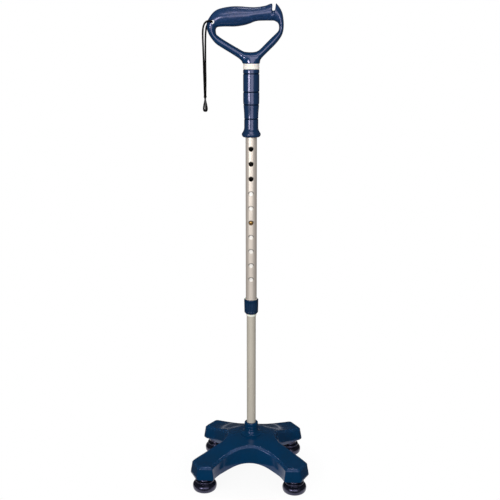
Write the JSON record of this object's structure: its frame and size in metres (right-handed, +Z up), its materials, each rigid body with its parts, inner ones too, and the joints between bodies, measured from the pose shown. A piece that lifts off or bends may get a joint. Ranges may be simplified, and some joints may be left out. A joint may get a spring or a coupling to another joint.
{
  "type": "quad walking cane",
  "caption": "Quad walking cane with a moulded D-handle and second grip on a telescoping aluminium pole, locked by a collar and a snap button, on an X-shaped base with rubber feet.",
  "frame": {"origin": "on the floor, under the pole's axis, in the middle of the base", "axes": "+Z up along the pole, the adjusting holes face -Y, the handle's long end points to -X"},
  "size_m": [0.211, 0.193, 0.8239],
  "materials": {
    "base_polymer": "moulded, glossy",
    "foot_rubber": "moulded, satin",
    "zinc_steel": "zinc plated",
    "lower_aluminium": "satin anodised",
    "white_nylon": "moulded, satin",
    "spring_steel": "rolled",
    "button_brass": "turned, satin",
    "upper_aluminium": "satin anodised",
    "collar_polymer": "moulded, satin",
    "grip_polymer": "moulded, glossy",
    "handle_polymer": "moulded, glossy",
    "cord_textile": "braided",
    "cord_end_polymer": "moulded, glossy"
  },
  "bodies": {
    "base": {"base_moulding": "base_polymer", "foot_front_left": "foot_rubber", "foot_front_right": "foot_rubber", "foot_rear_left": "foot_rubber", "foot_rear_right": "foot_rubber", "foot_screws": "zinc_steel", "foot_washers": "zinc_steel", "base_bolt": "zinc_steel", "base_washer": "zinc_steel", "tube_plug": "zinc_steel", "lower_tube": "lower_aluminium", "guide_cap": "white_nylon", "button_spring": "spring_steel"},
    "button": {"snap_button": "button_brass"},
    "upper": {"upper_tube": "upper_aluminium", "collar_bush": "white_nylon", "lower_grip": "grip_polymer", "spacer_ring": "white_nylon", "handle": "handle_polymer", "handle_rivet": "upper_aluminium", "wrist_cord": "cord_textile", "cord_knot": "cord_textile", "cord_end": "cord_end_polymer"},
    "collar": {"locking_collar": "collar_polymer"}
  },
  "joints": [
    {"name": "height_slide", "type": "slide", "parent": "base", "child": "upper", "axis": [0, 0, 1], "range_m": [-0.125, 0.1]},
    {"name": "collar_turn", "type": "hinge", "parent": "upper", "child": "collar", "pos_m": [0, 0, 0.3175], "axis": [0, 0, 1], "range_deg": [0, 270]},
    {"name": "button_press", "type": "slide", "parent": "base", "child": "button", "axis": [0, -1, 0], "range_m": [0, 0.003], "stiffness_N_per_m": 300, "springref_m": 0.004}
  ]
}
